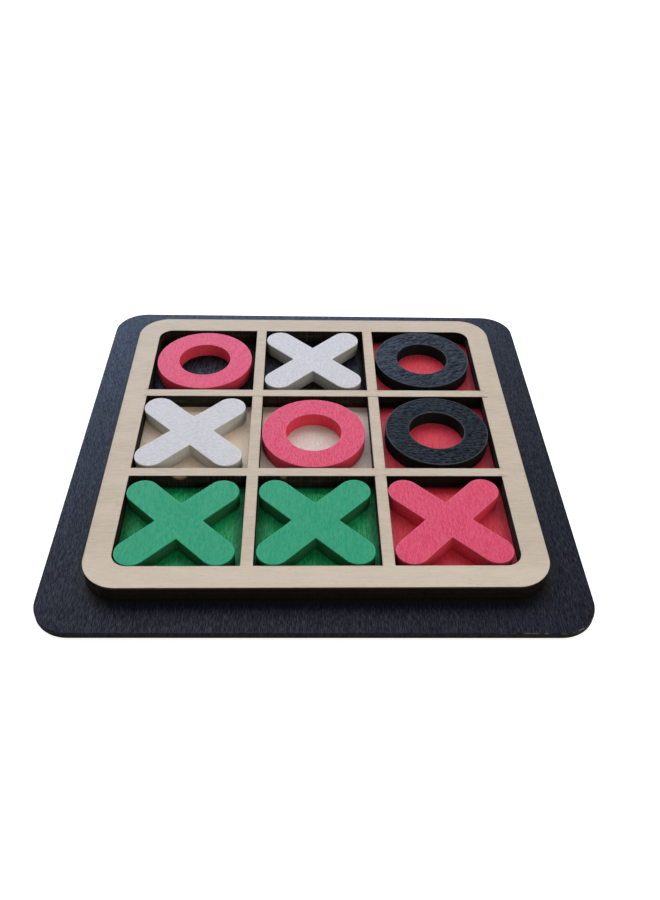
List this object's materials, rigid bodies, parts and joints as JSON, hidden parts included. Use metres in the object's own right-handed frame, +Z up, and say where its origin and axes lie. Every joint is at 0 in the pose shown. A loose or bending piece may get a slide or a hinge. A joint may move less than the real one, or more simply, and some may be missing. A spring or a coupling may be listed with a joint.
{
  "type": "tic tac toe board",
  "caption": "Flat wooden tic tac toe board: stained base, glued grid frame over coloured cell floors, and loose ring and cross pieces that lift out of the cells.",
  "frame": {"origin": "centre of the base board's underside", "axes": "+Z up out of the cells, +X to the player's right, +Y away from the player, square with the board's sides"},
  "size_m": [0.2022, 0.2012, 0.0098],
  "materials": {
    "black_stain": "matt black wood stain with streaky grain",
    "bare_floor": "bare pale plywood, unfinished",
    "green_stain": "matt green wood stain with streaky grain",
    "red_stain": "matt red wood stain with streaky grain",
    "natural_wood": "bare birch plywood, laser-charred edges",
    "pink_paint": "satin pink paint",
    "white_paint": "thin satin white paint, grain showing",
    "green_paint": "satin green paint",
    "black_paint": "thin black paint over rough grain"
  },
  "bodies": {
    "board": {"base_board": "black_stain", "floor_black": "black_stain", "floor_bare": "bare_floor", "floor_green": "green_stain", "floor_red": "red_stain", "grid_frame": "natural_wood"},
    "ring_pink_back_left": {"ring_pink_back_left": "pink_paint"},
    "cross_white_back_centre": {"cross_white_back_centre": "white_paint"},
    "ring_black_back_right": {"ring_black_back_right": "black_paint"},
    "cross_white_middle_left": {"cross_white_middle_left": "white_paint"},
    "ring_pink_centre": {"ring_pink_centre": "pink_paint"},
    "ring_black_middle_right": {"ring_black_middle_right": "black_paint"},
    "cross_green_front_left": {"cross_green_front_left": "green_paint"},
    "cross_green_front_centre": {"cross_green_front_centre": "green_paint"},
    "cross_pink_front_right": {"cross_pink_front_right": "pink_paint"}
  },
  "joints": [
    {"name": "ring_pink_back_left_lift", "type": "slide", "parent": "board", "child": "ring_pink_back_left", "axis": [0, 0, 1], "range_m": [0, 0.035]},
    {"name": "cross_white_back_centre_lift", "type": "slide", "parent": "board", "child": "cross_white_back_centre", "axis": [0, 0, 1], "range_m": [0, 0.035]},
    {"name": "ring_black_back_right_lift", "type": "slide", "parent": "board", "child": "ring_black_back_right", "axis": [0, 0, 1], "range_m": [0, 0.035]},
    {"name": "cross_white_middle_left_lift", "type": "slide", "parent": "board", "child": "cross_white_middle_left", "axis": [0, 0, 1], "range_m": [0, 0.035]},
    {"name": "ring_pink_centre_lift", "type": "slide", "parent": "board", "child": "ring_pink_centre", "axis": [0, 0, 1], "range_m": [0, 0.035]},
    {"name": "ring_black_middle_right_lift", "type": "slide", "parent": "board", "child": "ring_black_middle_right", "axis": [0, 0, 1], "range_m": [0, 0.035]},
    {"name": "cross_green_front_left_lift", "type": "slide", "parent": "board", "child": "cross_green_front_left", "axis": [0, 0, 1], "range_m": [0, 0.035]},
    {"name": "cross_green_front_centre_lift", "type": "slide", "parent": "board", "child": "cross_green_front_centre", "axis": [0, 0, 1], "range_m": [0, 0.035]},
    {"name": "cross_pink_front_right_lift", "type": "slide", "parent": "board", "child": "cross_pink_front_right", "axis": [0, 0, 1], "range_m": [0, 0.035]}
  ]
}
